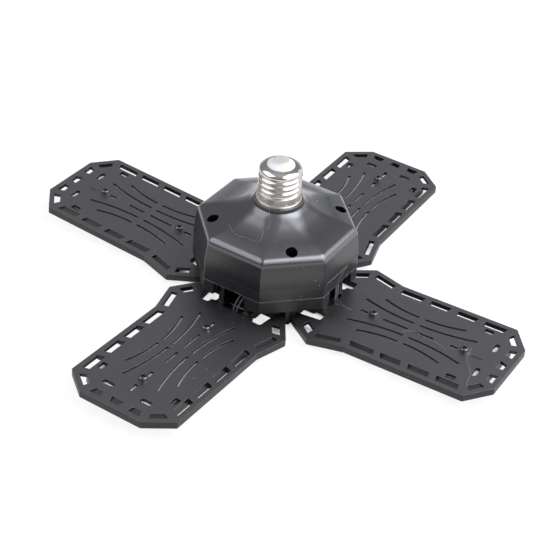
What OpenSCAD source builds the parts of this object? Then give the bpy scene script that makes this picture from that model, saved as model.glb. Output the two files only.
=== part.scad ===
// Screw-in garage ceiling light with four hinged leaves.
// Stands on the foot of its box with the screw cap up; the lamp's axis is Z.
// Leaf 1 points along +X, leaf 2 along +Y, leaf 3 along -X, leaf 4 along -Y.
// A leaf is drawn level, u (X) along it from the lamp's axis, v (Y) across, Z = 0 at its top face.

/* [Leaf outline] */
// Height of the level leaves' top face above the foot of the box
leaf_top_z = 6.8; // [6.6:0.1:8]
// Distance from the lamp's axis to the end of a leaf
leaf_end = 161.7; // [158:0.5:172]
// Half width of the straight end edge
end_half = 20.8; // [19.5:0.1:22]
// Distance from the axis to the outer corner of the long side
corner_u = 149.5; // [148:0.5:151]
// Half width between the long sides
leaf_half = 36.4; // [35.5:0.1:38]
// Distance from the axis to the waist where the wing begins
waist_u = 72.2; // [70:0.2:75]
// Distance from the axis to the tip of the wing
wing_u = 50.4; // [50:0.1:51.5]
// Half width over the wing tips
wing_half = 42.2; // [41:0.1:44]
// Distance from the axis to the inner corner of the wing
root_u = 36; // [35:0.1:37]
// Half width at the inner corner of the wing
root_half = 32.6; // [31.5:0.1:33]
// Distance from the axis to the inner edge beside the notch
shoulder_u = 38.5; // [37.5:0.1:39.5]
// Radius of the outline's corners
corner_r = 1.4; // [0.8:0.1:1.8]

/* [Leaf shell] */
// Thickness of the leaf's top skin
skin_t = 2.2; // [1.8:0.1:2.6]
// Thickness of the skirt round the edge
skirt_t = 1.6; // [1.2:0.1:2]
// Depth of the skirt below the top face
skirt_d = 4.3; // [4:0.1:4.8]
// Thickness of the rib that closes the light compartment
rib_t = 1.2; // [1:0.1:1.6]
// Depth of that rib below the top face
rib_d = 5.4; // [5:0.1:5.8]
// Step from the slots' inner edges to the rib
rib_step = 0.3; // [0.2:0.05:0.5]
// Distance from the axis to the inner end of the light compartment
room_u = 50.5; // [50:0.1:52]

/* [Leaf root] */
// Distance from the axis to the bottom of the side notches
notch_u = 47.8; // [47.4:0.1:48.4]
// Half width across the side notches
notch_half = 22.3; // [21.5:0.1:23]
// Half width of the tongue between the notches
tongue_half = 15.4; // [15:0.1:16]
// Distance from the axis to the inner edge of the tongue
tongue_u = 44; // [43.6:0.1:44.6]
// Outer half width of the two arms that carry the knuckles
arm_half = 12.3; // [12:0.1:12.4]
// Half width of the window for the leads
window_half = 7; // [6.8:0.05:7.2]
// Distance from the axis to the end of the window
window_u = 45.8; // [45.4:0.1:46.4]

/* [Leaf slots] */
// Distance of the slots' outer edge from the leaf's edge
slot_out = 3.2; // [2.8:0.1:3.6]
// Distance of the wing and end slots' inner edge from the leaf's edge
slot_in = 7; // [6.8:0.1:7.4]
// Distance of the side slots' inner edge from the leaf's edge
side_slot_in = 7.7; // [7.4:0.1:8]
// Distance of the root slot's inner edge from the leaf's edge
root_slot_in = 8; // [7:0.1:8.2]
// Width of the fan and middle slots
fan_w = 1.6; // [1.2:0.1:2]
// Half gap between the two fans
fan_gap = 2.5; // [2:0.1:3]
// Distance of the inner fan slots from the middle line
fan_near_v = 7; // [6.5:0.1:7.5]
// Distance of the outer fan slots from the middle line
fan_far_v = 13.9; // [13:0.1:14.5]
// Length of the inner fan slots
fan_near_len = 34.5; // [30:0.5:36]
// Length of the outer fan slots
fan_far_len = 24.5; // [22:0.5:28]
// Spread of the inner fan slots over their length
fan_near_rise = 5; // [3:0.1:5.5]
// Spread of the outer fan slots over their length
fan_far_rise = 4.3; // [3:0.1:5]
// Length of the windows for the cover's tabs
tab_len = 8.2; // [7:0.1:9]
// Width of the windows for the cover's tabs
tab_w = 3.3; // [2.8:0.1:3.6]
// Distance of the tab windows from the middle line
tab_v = 13.1; // [12.5:0.1:13.6]
// Distance of the tab windows from the end of the leaf
tab_end = 15.4; // [14.8:0.1:16]

/* [Leaf screws] */
// Diameter of the screw heads
head_d = 5; // [4.4:0.1:5.6]
// Height of the screw heads
head_h = 2.1; // [1.6:0.1:2.3]
// Diameter of the screw shanks
shank_d = 2.6; // [2:0.1:3]
// Diameter of the low ring under each head
ring_d = 6; // [5.8:0.1:6.6]
// Height of that ring
ring_h = 0.3; // [0.2:0.05:0.4]

/* [Light parts] */
// Thickness of the light board
led_board_t = 1.2; // [1:0.1:1.4]
// Clearance of the light board inside the milky cover's rim, along its long sides
board_side_gap = 0.4; // [0.2:0.1:3]
// Clearance of the light board from the cover's rim at the root end
board_root_gap = 2.8; // [1.8:0.1:5]
// Clearance of the light board from the tab windows
board_tab_gap = 1.65; // [1.2:0.05:4]
// Distance of the outer rows of lights from the board's long sides
led_side_in = 7.3; // [6:0.1:8]
// Distance of the outer columns of lights from the board's ends
led_end_in = 8.5; // [6:0.1:10]
// Length of one light
led_l = 3.5; // [2.8:0.1:4]
// Width of one light
led_w = 2.8; // [2:0.1:3.5]
// Height of one light
led_h = 0.7; // [0.5:0.05:0.9]
// Thickness of the milky cover
cover_t = 1.2; // [1:0.1:1.4]
// Depth of the milky cover's face below the leaf's top face
cover_d = 5.9; // [5.8:0.1:6.1]
// Clearance of the milky cover inside the rib
cover_gap = 0.3; // [0.2:0.05:0.4]

/* [Hinges] */
// Distance from the axis to the hinge pins
hinge_u = 38.5; // [38.3:0.1:38.8]
// Height of the hinge pins above the leaves' top face
hinge_up = 10; // [9.9:0.05:10.1]
// Diameter of the hinge pins
pin_d = 3; // [2.6:0.1:3.2]
// Length of the hinge pins
pin_len = 27; // [26.6:0.1:27]
// Radius of the knuckles
knuckle_r = 4.9; // [4.4:0.1:5]
// Thickness of the knuckles
knuckle_t = 3.5; // [3:0.1:3.7]
// Inner half spacing of the knuckles
knuckle_in = 7.25; // [7.2:0.05:7.5]
// Running clearance of a pin in its knuckles, on the radius
pin_play = 0.05; // [0.03:0.01:0.09]
// Tilt of leaf 1 above level, in degrees
tilt_1 = 3.2; // [0:0.1:80]
// Tilt of leaf 2 above level, in degrees
tilt_2 = 2.6; // [0:0.1:80]
// Tilt of leaf 3 above level, in degrees
tilt_3 = 0.8; // [0:0.1:80]
// Tilt of leaf 4 above level, in degrees
tilt_4 = 3.1; // [0:0.1:80]

/* [Base tray] */
// Half side of the square box
box_half = 31; // [30:0.1:31.1]
// Cut of the box's corners
box_cut = 1.9; // [1:0.1:3]
// Thickness of the box's side walls
box_wall = 2.4; // [2:0.1:2.8]
// Thickness of the box's floor
floor_t = 2; // [1.6:0.1:2.4]
// Height of the tray's web above the leaves' top face
web_up = 7; // [6.8:0.1:7.2]
// Thickness of the web
web_t = 2; // [1.6:0.1:2.4]
// Height of the parting line above the leaves' top face
part_up = 15.3; // [15.1:0.1:16]
// Half width of the hinge openings
gate_half = 12.5; // [12.45:0.05:13]
// Distance from the axis to the back of the hinge openings
gate_u = 32.5; // [32:0.1:33]
// Clearance between a knuckle and the cheek beside it
cheek_gap = 0.25; // [0.2:0.05:0.3]

/* [Upper housing] */
// Distance from the axis to a flat of the housing
hub_apothem = 47.5; // [47:0.1:47.8]
// Height of the housing from the parting line to the neck
house_h = 39.7; // [38:0.1:44]
// Wall thickness of the housing
house_wall = 2.4; // [2:0.1:2.8]
// Radius of the housing's upright corners
house_corner_r = 1.6; // [1:0.1:2.4]
// Distance from the axis to the screw wells
well_at = 39.5; // [39:0.1:40]
// Diameter of the screw wells
well_d = 7.2; // [6.8:0.1:7.6]
// Height of the wells' floors above the parting line
well_up = 5; // [4:0.5:10]
// Radius of the neck ring under the cap
neck_r = 14.8; // [14.4:0.1:15.4]
// Height of the neck ring
neck_h = 2.6; // [2:0.1:3.4]
// Width of the shelf round the neck ring
shelf_w = 2; // [1.4:0.1:2.6]

/* [Screw cap] */
// Radius of the plain skirt of the cap
cap_skirt_r = 13.25; // [13.2:0.05:13.4]
// Height of the plain skirt
cap_skirt_h = 4.6; // [4.2:0.1:5]
// Radius over the thread
crest_r = 13.2; // [13.1:0.05:13.25]
// Radius at the root of the thread
thread_root_r = 12.05; // [12:0.05:12.2]
// Pitch of the thread
pitch = 3.63; // [3.5:0.01:3.7]
// Thickness of the cap's sheet
sheet_t = 0.45; // [0.35:0.05:0.55]
// Height of the domed top of the cap
dome_h = 3.3; // [3:0.1:4]
// Radius of the round opening in the dome
dome_hole_r = 7.9; // [7.4:0.1:8.4]
// Height of the insulator's cone
cone_h = 3.2; // [2.8:0.1:3.6]
// Radius of the centre contact
contact_r = 4.7; // [4.2:0.1:5]
// Thickness of the centre contact
contact_t = 0.6; // [0.4:0.1:0.9]

/* [Driver] */
// Half side of the driver board
driver_half = 26.5; // [25.5:0.1:27.5]
// Thickness of the driver board
driver_t = 1.6; // [1.2:0.1:2]
// Height of the posts under the driver board
post_h = 3; // [2:0.1:4]
// Diameter of the leads to the leaves
lead_d = 1.6; // [1.2:0.1:1.6]
// Diameter of the leads to the cap
cap_lead_d = 1.4; // [1:0.1:1.6]

/* [Hidden] */
$fn = 48;
over = 1;

// Heights above the foot of the box
part_z = leaf_top_z + part_up;
web_z = leaf_top_z + web_up;
hinge_z = leaf_top_z + hinge_up;
neck_z = part_z + house_h;
cap_z = neck_z + neck_h;
flange_h = 0.8;
flange_w = 0.55;
skirt_top_z = cap_z + flange_h + cap_skirt_h;
first_crest_z = skirt_top_z + 0.47 * pitch;
crests = 4;
dome_z = first_crest_z + (crests - 1) * pitch + 0.3 * pitch;
cone_z = dome_z + dome_h;
contact_z = cone_z + cone_h;

// Leaf shell
tilts = [tilt_1, tilt_2, tilt_3, tilt_4];
rib_top = skin_t / 2;
arm_end = 35.2;
// Shares of each edge that its slot takes, outer edge first and then inner edge
side_slot_shares = [[0.06, 0.22], [0.305, 0.455], [0.54, 0.69], [0.77, 0.95]];
side_slant_share = 0.02;
wing_slot_shares = [0.14, 0.83];
root_slot_shares = [[0.27, 0.77], [0.37, 0.85]];
end_slot_shares = [[0.22, 0.76], [0.27, 0.67]];
crossbar_shares = [0.27, 0.51, 0.74];
// Shares of the run from the wing tip to the end of the leaf
run = leaf_end - wing_u;
screw_shares = [0.192, 0.735];
fan_mid_share = 0.422;
middle_slot_shares = [[0.11, 0.155], [0.249, 0.4], [0.445, 0.554], [0.653, 0.698], [0.783, 0.842]];
side_hole_share = [0.744, 0.798];
side_hole_in = 13.1;
side_hole_out = 9.4;
side_hole_v = [leaf_half - side_hole_in, leaf_half - side_hole_out];
// Holes along the end edge: distance from the end, then across
end_hole_in = 7.7;
end_hole_out = 3.3;
end_hole_half = [[0.49, 0.447], [0.755, 0.837]];
end_mid_share = [0.2, 0.125];
heel_gap = 0.3;
heel_u = box_half + heel_gap;
heel_h = 3.2;
heel_rise = 2.3;
lead_gap_half = 6.4;
fan_steps = 6;

// Screws
shank_play = 0.1;
cover_boss_r = shank_d;
screw_tip = cover_d - cover_t / 3;
led_board_half = leaf_half - side_slot_in - rib_step - rib_t - cover_gap - cover_t - board_side_gap;
led_board_in = room_u + rib_t + cover_gap + cover_t + board_root_gap;
led_board_out = leaf_end - tab_end - tab_w / 2 - board_tab_gap;
led_rows = 4;
led_columns = 6;
led_row_pitch = 2 * (led_board_half - led_side_in) / (led_rows - 1);
led_column_pitch = (led_board_out - led_board_in - 2 * led_end_in) / (led_columns - 1);
board_corner = 3;
tab_play = 0.15;
tab_drop = 0.5;

// Base tray and housing
tray_step = 0.1;
tray_apothem = hub_apothem + tray_step;
tray_in = tray_apothem - house_wall;
weld = 0.5;
lip_t = 1;
lip_h = 1.5;
lip_gap = 0.2;
cheek_in = knuckle_in + knuckle_t + cheek_gap;
cheek_back = gate_u - weld;
cheek_drop = 0.3;
tray_boss_r = 3.6;
boss_wall = 2.4;
pin_fit = 0.02;
pin_end_gap = 0.1;
pilot_floor = 0.8;
peg_r = 1.2;
peg_rise = 0.6;
peg_play = 0.2;
post_r = 2.4;
post_at = 23;
// Housing profile: share of the height, share of the way in from the flats to the neck,
// share of the flat's distance that the corner radius takes
house_shares = [[0.181, 0, 0], [0.559, 0.042, 0.01], [0.605, 0.049, 0.015],
    [0.65, 0.068, 0.02], [0.688, 0.101, 0.03], [0.713, 0.143, 0.04], [0.73, 0.202, 0.06],
    [0.766, 0.345, 0.12], [0.804, 0.534, 0.24], [0.854, 0.707, 0.4], [0.919, 0.863, 0.64],
    [0.96, 0.941, 0.8], [1, 1, 0.93]];
corner_steps = 5;
stub_h = 4.8;
stub_gap = 0.3;
stub_r = cap_skirt_r - sheet_t - stub_gap;
neck_bore_r = stub_r - 2;
house_screw_head_r = 2.9;
house_screw_head_h = 2.4;
house_screw_r = 1.5;
house_screw_len = 12;
house_screw_play = 0.2;
house_screw_fit = 0.05;

// Cap
thread_steps = 8;
groove_share = 0.3;
dome_steps = 6;
seat_w = 0.5;
plug_r = dome_hole_r - 0.2;
plug_d = 2.4;
cone_foot_r = dome_hole_r + sheet_t;
cone_top_r = contact_r + 0.35;
stem_r = 1.2;
stem_len = 6.8;
stem_play = 0.1;

// Driver
driver_z = floor_t + post_h;
parts_z = driver_z + driver_t;
transformer_at = [-7, 1];
transformer_size = [20, 17, 15];
filter_at = [11, 11];
filter_r = 5;
filter_h = 18;
film_at = [11, -12];
film_size = [13, 6, 11];
choke_at = [-11, -15];
choke_r = 4.6;
choke_h = 11;

// Lead routes: distance along the leaf, height above the foot of the box, offset across,
// and the share of the leaf's tilt that the point follows
lead_window_in = 1.55;
lead_window_out = 0.6;
leaf_lead_route = [[21, 6.7, 0, 0], [21.6, 12, 0, 0], [25, 17.2, 0, 0], [31, 19.5, 0, 0],
    [38.5, 19.6, 0, 0.5], [42.4, 16.6, 0.2, 0.8], [window_u - lead_window_in, 10.6, 0.4, 1],
    [window_u - lead_window_in, 5, 0.6, 1], [window_u + lead_window_out, 3.1, 0.7, 1],
    [led_board_in, 3.2, 0.7, 1]];
leaf_lead_v = [0.9, 3.5];
// Leads to the cap: share of the neck's bore radius, share of the height from board to end
lead_end_gap = 0.085;
lead_foot_gap = 0.1;
live_foot_z = parts_z + lead_foot_gap;
live_end_z = contact_z - stem_len - lead_end_gap;
live_shares = [[0.762, 0], [0.8, 0.226], [0.381, 0.514], [0, 0.776], [0, 1]];
neutral_end_z = first_crest_z + 0.44 * pitch;
neutral_end_r = thread_root_r - sheet_t - 4 * lead_foot_gap;
neutral_shares = [[0.857, 0], [0.857, 0.291], [0.714, 0.592], [0.8, 0.833], [0.857, 0.989]];
live_route = [for (s = live_shares)
    [neck_bore_r * s[0], live_foot_z + (live_end_z - live_foot_z) * s[1]]];
neutral_route = concat([for (s = neutral_shares)
    [neck_bore_r * s[0], live_foot_z + (neutral_end_z - live_foot_z) * s[1]]],
    [[neutral_end_r, neutral_end_z]]);
neutral_turn = -30;
lead_sides = 8;

// Plane geometry
function unit(v) = v / norm(v);
function left(v) = [-v.y, v.x];
function turn(v, a) = [v.x * cos(a) - v.y * sin(a), v.x * sin(a) + v.y * cos(a)];
function both(h) = concat(h, [for (i = [len(h) - 1 : -1 : 0]) [h[i].x, -h[i].y]]);
function meet(p, d, q, e) = p + d * cross(q - p, e) / cross(d, e);
// Line parallel to the edge from p to q, d to its left: a point and a direction
function beside(p, q, d) = [p + left(unit(q - p)) * d, q - p];
function crossing(m, n) = meet(m[0], m[1], n[0], n[1]);
// Outline moved inwards by d, for points listed counter-clockwise
function inset(pts, d) = [for (i = [0 : len(pts) - 1])
    let (n = len(pts), a = pts[(i + n - 1) % n], p = pts[i], b = pts[(i + 1) % n])
    crossing(beside(a, p, d), beside(p, b, d))];
// Arc that rounds corner p between its neighbours a and b, never longer than its edges allow
function arc(a, p, b, r, n) = let (ua = unit(a - p), ub = unit(b - p), half = acos(ua * ub) / 2,
    d = min(r / tan(half), 0.45 * min(norm(a - p), norm(b - p))), re = d * tan(half),
    c = p + unit(ua + ub) * re / sin(half), s = p + ua * d - c,
    way = cross(p - a, b - p) > 0 ? 1 : -1)
    [for (i = [0 : n]) c + turn(s, way * (180 - 2 * half) * i / n)];
function rounded(pts, r, n = 3) = [for (i = [0 : len(pts) - 1])
    each arc(pts[(i + len(pts) - 1) % len(pts)], pts[i], pts[(i + 1) % len(pts)], r, n)];
// Slot beside the edge from p to q, between two distances from it
function edge_slot(p, q, out_share, in_share, d_out, d_in) = let (n = left(unit(q - p)))
    [p + (q - p) * out_share[0] + n * d_out, p + (q - p) * in_share[0] + n * d_in,
    p + (q - p) * in_share[1] + n * d_in, p + (q - p) * out_share[1] + n * d_out];
function octagon(a) = [for (k = [0 : 7]) turn([a / cos(22.5), 0], 22.5 + 45 * k)];
function cut_square(h, c) = [[h, -h + c], [h, h - c], [h - c, h], [c - h, h],
    [-h, h - c], [-h, c - h], [c - h, -h], [h - c, -h]];

// Solid through closed rings of equally many points, listed counter-clockwise from the bottom up
module loft(rings) {
    n = len(rings[0]);
    m = len(rings);
    polyhedron(points = [for (r = rings) each r], faces = concat(
        [[for (i = [0 : n - 1]) i]],
        [[for (i = [n - 1 : -1 : 0]) (m - 1) * n + i]],
        [for (j = [0 : m - 2], i = [0 : n - 1]) [j * n + i, j * n + n + i, j * n + (i + 1) % n]],
        [for (j = [0 : m - 2], i = [0 : n - 1])
            [j * n + (i + 1) % n, j * n + n + i, j * n + n + (i + 1) % n]]));
}

// Round tube along a route of points
module tube(route, d) {
    n = len(route);
    loft([for (i = [0 : n - 1])
        let (t = unit(route[min(i + 1, n - 1)] - route[max(i - 1, 0)]),
            s = unit(cross(t, [0, 1, 0])), w = cross(t, s))
        [for (j = [0 : lead_sides - 1])
            let (a = 360 * (j + 0.5) / lead_sides)
            route[i] + (s * cos(a) + w * sin(a)) * d / 2]]);
}

// Leaf frame: level leaf turned up about its hinge pin and round the lamp's axis
module on_leaf(k) {
    rotate([0, 0, 90 * (k - 1)])
        translate([hinge_u, 0, hinge_z])
            rotate([0, -tilts[k - 1], 0])
                translate([-hinge_u, 0, -hinge_up])
                    children();
}

// Outline of the leaf from its end round to the notch, then with its tongue
leaf_side = [[leaf_end, end_half], [corner_u, leaf_half], [waist_u, leaf_half],
    [wing_u, wing_half], [root_u, root_half], [shoulder_u, notch_half], [notch_u, notch_half]];
leaf_body = both(leaf_side);
leaf_plan = both(concat(leaf_side, [[notch_u, tongue_half], [tongue_u, tongue_half],
    [tongue_u, arm_half], [arm_end, arm_half], [arm_end, window_half],
    [window_u, window_half]]));

// Outer face of the compartment's rib
end_face = [[leaf_end - end_hole_in - rib_step, 0], [0, 1]];
room_face = [[room_u, 0], [0, 1]];
room_plan = let (chamfer = beside(leaf_side[0], leaf_side[1], slot_in + rib_step),
    side = beside(leaf_side[1], leaf_side[2], side_slot_in + rib_step),
    wing = beside(leaf_side[2], leaf_side[3], slot_in + rib_step))
    both([crossing(end_face, chamfer), crossing(chamfer, side), crossing(side, wing),
        crossing(room_face, wing)]);

// Fan slot: an arc that leaves the middle of the leaf straight and spreads by rise
function fan_slot(v, len, rise) = let (r = (len * len + rise * rise) / (2 * rise),
    top = asin(len / r), c = [fan_gap, v + r], w = fan_w / 2)
    concat([for (i = [0 : fan_steps]) c + (r + w) * [sin(top * i / fan_steps), -cos(top * i / fan_steps)]],
        [for (i = [1 : 2]) c + r * [sin(top), -cos(top)] + turn([0, -w], top + 60 * i)],
        [for (i = [fan_steps : -1 : 0])
            c + (r - w) * [sin(top * i / fan_steps), -cos(top * i / fan_steps)]],
        [for (i = [1 : 2]) c + [0, -r] + turn([0, w], 60 * i)]);

// Every slot and hole on the v > 0 half that has a twin on the other half
leaf_holes = concat(
    [for (p = side_slot_shares) edge_slot(leaf_side[1], leaf_side[2], p,
        [p[0] + side_slant_share, p[1] + side_slant_share], slot_out, side_slot_in)],
    [edge_slot(leaf_side[2], leaf_side[3], wing_slot_shares, wing_slot_shares, slot_out, slot_in),
    edge_slot(leaf_side[3], leaf_side[4], root_slot_shares[0], root_slot_shares[1], slot_out,
        root_slot_in),
    edge_slot(leaf_side[0], leaf_side[1], end_slot_shares[0], end_slot_shares[1], slot_out,
        slot_in),
    [[leaf_end - end_hole_in, end_half * end_hole_half[0][0]],
        [leaf_end - end_hole_out, end_half * end_hole_half[0][1]],
        [leaf_end - end_hole_out, end_half * end_hole_half[1][1]],
        [leaf_end - end_hole_in, end_half * end_hole_half[1][0]]],
    [[wing_u + run * side_hole_share[0], side_hole_v[0]],
        [wing_u + run * side_hole_share[1], side_hole_v[0]],
        [wing_u + run * side_hole_share[1], side_hole_v[1]],
        [wing_u + run * side_hole_share[0], side_hole_v[1]]],
    obround(leaf_end - tab_end, tab_v, tab_len, tab_w)],
    [for (f = [1, -1], s = [fan_slot(fan_near_v, fan_near_len, fan_near_rise),
        fan_slot(fan_far_v, fan_far_len, fan_far_rise)])
        [for (p = s) [wing_u + run * fan_mid_share + f * p.x, p.y]]]);

function obround(u, v, len, w) = [for (s = [1, -1], i = [0 : 4])
    [u, v + s * (len - w) / 2] + turn([s * w / 2, 0], 45 * i)];

module leaf_slots() {
    for (h = leaf_holes, s = [1, -1])
        polygon([for (p = h) [p.x, s * p.y]]);
    for (m = middle_slot_shares)
        polygon([for (e = [[0, -1], [1, -1], [1, 1], [0, 1]])
            [wing_u + run * m[e.x], e.y * fan_w / 2]]);
    polygon(both([[leaf_end - end_hole_out, end_half * end_mid_share[1]],
        [leaf_end - end_hole_in, end_half * end_mid_share[0]]]));
}

// Ribs across the bars between the side slots, from the skirt to the compartment's rib
module cross_ribs() {
    for (c = crossbar_shares, s = [1, -1])
        polygon([for (e = [[-1, 0], [1, 0], [1, 1], [-1, 1]])
            [corner_u + (waist_u - corner_u) * c + e.x * skirt_t / 2,
                s * (leaf_half - skirt_t / 2 - e.y * (side_slot_in + rib_step - skirt_t / 2
                    + rib_t / 2))]]);
}

// One knuckle and its arm, drawn in the plane across the hinge
module knuckle_side() {
    circle(r = knuckle_r);
    polygon([[knuckle_r, 0], [-knuckle_r, 0],
        [-knuckle_r, heel_h + heel_rise - hinge_up], [heel_u - hinge_u, heel_h - hinge_up],
        [heel_u - hinge_u, -hinge_up - skin_t], [knuckle_r, -hinge_up - skin_t]]);
}

module leaf_shell() {
    difference() {
        union() {
            translate([0, 0, -skin_t])
                linear_extrude(skin_t)
                    difference() {
                        polygon(rounded(leaf_plan, corner_r));
                        leaf_slots();
                    }
            translate([0, 0, -skirt_d])
                linear_extrude(skirt_d - rib_top) {
                    difference() {
                        polygon(rounded(leaf_body, corner_r));
                        polygon(inset(leaf_body, skirt_t));
                    }
                    cross_ribs();
                }
            translate([0, 0, -rib_d])
                linear_extrude(rib_d - rib_top)
                    difference() {
                        polygon(room_plan);
                        polygon(inset(room_plan, rib_t));
                    }
            for (s = [1, -1]) {
                translate([arm_end, s > 0 ? window_half : -arm_half, -skirt_d])
                    cube([notch_u + skirt_t / 2 - arm_end, arm_half - window_half,
                        skirt_d - rib_top]);
                translate([hinge_u, s * (knuckle_in + knuckle_t / 2) + knuckle_t / 2, hinge_up])
                    rotate([90, 0, 0])
                        linear_extrude(knuckle_t)
                            knuckle_side();
            }
            for (p = screw_shares)
                translate([wing_u + run * p, 0, -skin_t])
                    cylinder(d = ring_d, h = skin_t + ring_h);
        }
        translate([hinge_u, arm_half + over, hinge_up])
            rotate([90, 0, 0])
                cylinder(r = pin_d / 2 + pin_play, h = 2 * (arm_half + over));
        for (p = screw_shares)
            translate([wing_u + run * p, 0, -skin_t - over])
                cylinder(r = shank_d / 2 + shank_play, h = skin_t + ring_h + 2 * over);
        translate([notch_u - over, -lead_gap_half, -rib_d - over])
            cube([room_u + rib_t + 2 * over - notch_u, 2 * lead_gap_half, rib_d + over - skin_t]);
    }
}

module led_board() {
    difference() {
        translate([0, 0, -skin_t - led_board_t])
            linear_extrude(led_board_t)
                polygon(both([[led_board_out, led_board_half - board_corner],
                    [led_board_out - board_corner, led_board_half],
                    [led_board_in + board_corner, led_board_half],
                    [led_board_in, led_board_half - board_corner]]));
        for (p = screw_shares)
            translate([wing_u + run * p, 0, -skin_t - led_board_t - over])
                cylinder(r = shank_d / 2 + shank_play, h = led_board_t + 2 * over);
    }
}

module leds() {
    for (i = [0 : led_columns - 1], j = [0 : led_rows - 1])
        translate([(led_board_in + led_board_out - led_l) / 2
                + (i - (led_columns - 1) / 2) * led_column_pitch,
            (j - (led_rows - 1) / 2) * led_row_pitch - led_w / 2,
            -skin_t - led_board_t - led_h])
            cube([led_l, led_w, led_h]);
}

module cover() {
    difference() {
        union() {
            translate([0, 0, -cover_d])
                linear_extrude(cover_t)
                    polygon(inset(room_plan, rib_t + cover_gap));
            translate([0, 0, -cover_d])
                linear_extrude(cover_d - skin_t)
                    difference() {
                        polygon(inset(room_plan, rib_t + cover_gap));
                        polygon(inset(room_plan, rib_t + cover_gap + cover_t));
                    }
            for (p = screw_shares)
                translate([wing_u + run * p, 0, -cover_d])
                    cylinder(r = cover_boss_r, h = cover_d - skin_t - led_board_t);
            for (s = [1, -1])
                translate([0, 0, -cover_d])
                    linear_extrude(cover_d - tab_drop)
                        polygon([for (p = obround(leaf_end - tab_end, tab_v,
                            tab_len - 2 * tab_play, tab_w - 2 * tab_play)) [p.x, s * p.y]]);
        }
        for (p = screw_shares)
            translate([wing_u + run * p, 0, -screw_tip])
                cylinder(r = shank_d / 2 + shank_play / 2, h = cover_d);
        translate([room_u, -lead_gap_half, cover_t - cover_d])
            cube([rib_t + cover_gap + cover_t + over, 2 * lead_gap_half, cover_d]);
    }
}

// Pan-head screws with a domed head
module leaf_screws() {
    for (p = screw_shares)
        translate([wing_u + run * p, 0, 0]) {
            translate([0, 0, ring_h])
                rotate_extrude()
                    polygon([[0, 0], [head_d / 2, 0], [head_d / 2, head_h * 0.45],
                        [head_d * 0.46, head_h * 0.68], [head_d * 0.36, head_h * 0.88],
                        [head_d * 0.2, head_h * 0.98], [0, head_h]]);
            translate([0, 0, shank_play - screw_tip])
                cylinder(d = shank_d, h = screw_tip + ring_h - shank_play);
        }
}

// Point of a lead's route: the share of the tilt in its last value turns it about the hinge
function routed(p, v, tilt) = let (q = [p[0] - hinge_u, p[1] - hinge_z], a = tilt * p[3])
    [hinge_u + q.x * cos(a) - q.y * sin(a), v * (1 + p[2] / 3), hinge_z + q.x * sin(a) + q.y * cos(a)];

module leaf_leads(k) {
    color([0.72, 0.72, 0.7])
        rotate([0, 0, 90 * (k - 1)])
            for (v = leaf_lead_v)
                tube([for (p = leaf_lead_route) routed(p, v, tilts[k - 1])], lead_d);
}

module cap_lead(route, a) {
    rotate([0, 0, a])
        tube([for (p = route) [p[0], 0, p[1]]], cap_lead_d);
}

// Distance of the housing's flat from the axis, and height, up its outer face
house_profile = concat([[hub_apothem, part_z]], [for (s = house_shares)
    [hub_apothem - (hub_apothem - neck_r - shelf_w) * s[1], part_z + house_h * s[0]]]);
house_corners = concat([house_corner_r], [for (i = [0 : len(house_shares) - 1])
    min(0.96 * house_profile[i + 1][0],
        house_corner_r + house_profile[i + 1][0] * house_shares[i][2])]);
// The same profile moved in by the wall's thickness
cavity_profile = [for (i = [0 : len(house_profile) - 1])
    let (n = len(house_profile) - 1,
        t = unit(house_profile[min(i + 1, n)] - house_profile[max(i - 1, 0)]))
    house_profile[i] + left(t) * house_wall];

// Octagon with round corners, the flat at distance a and the corner radius r, at height z
function ring(a, r, z) = [for (k = [0 : 7], i = [0 : corner_steps])
    let (c = turn([(a - r) / cos(22.5), 0], 22.5 + 45 * k)
        + turn([r, 0], 45 * k + 45 * i / corner_steps)) [c.x, c.y, z]];

module wells(r, z) {
    for (k = [0 : 3])
        rotate([0, 0, 45 + 90 * k])
            translate([well_at, 0, z])
                cylinder(r = r, h = neck_z + over - z);
}

module upper_housing() {
    color([0.1, 0.1, 0.11])
        difference() {
            union() {
                loft([for (i = [0 : len(house_profile) - 1])
                    ring(house_profile[i].x, house_corners[i], house_profile[i].y)]);
                translate([0, 0, neck_z - over])
                    cylinder(r = neck_r, h = neck_h + over);
                translate([0, 0, neck_z - over])
                    cylinder(r = stub_r, h = neck_h + stub_h + over);
            }
            difference() {
                loft([for (i = [0 : len(cavity_profile) - 1])
                    ring(cavity_profile[i].x, max(house_corners[i] - house_wall, house_wall / 4),
                        cavity_profile[i].y - (i == 0 ? over : 0))]);
                wells(well_d / 2 + boss_wall, part_z);
            }
            wells(well_d / 2, part_z + well_up);
            wells(house_screw_r + house_screw_play, part_z - over);
            translate([0, 0, part_z])
                cylinder(r = neck_bore_r, h = house_h + neck_h + stub_h + over);
        }
}

module housing_screws() {
    color([0.12, 0.12, 0.12])
        for (k = [0 : 3])
            rotate([0, 0, 45 + 90 * k])
                translate([well_at, 0, part_z + well_up]) {
                    rotate_extrude()
                        polygon([[0, 0], [house_screw_head_r, 0],
                            [house_screw_head_r, house_screw_head_h * 0.5],
                            [house_screw_head_r * 0.7, house_screw_head_h * 0.9],
                            [0, house_screw_head_h]]);
                    translate([0, 0, -house_screw_len])
                        cylinder(r = house_screw_r, h = house_screw_len);
                }
}

module base_tray() {
    color([0.11, 0.11, 0.12]) {
        difference() {
            union() {
                tray_walls();
                tray_cheeks();
            }
            for (k = [0 : 3], s = [1, -1])
                rotate([0, 0, 90 * k])
                    translate([hinge_u, s > 0 ? pin_len / 2 + pin_end_gap : over - cheek_in, hinge_z])
                        rotate([90, 0, 0])
                            cylinder(r = pin_d / 2 + pin_fit,
                                h = pin_len / 2 + pin_end_gap + over - cheek_in);
        }
        for (x = [1, -1], y = [1, -1])
            translate([x * post_at, y * post_at, floor_t / 2]) {
                cylinder(r = post_r, h = driver_z - floor_t / 2);
                cylinder(r = peg_r, h = parts_z + peg_rise - floor_t / 2);
            }
    }
}

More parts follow.
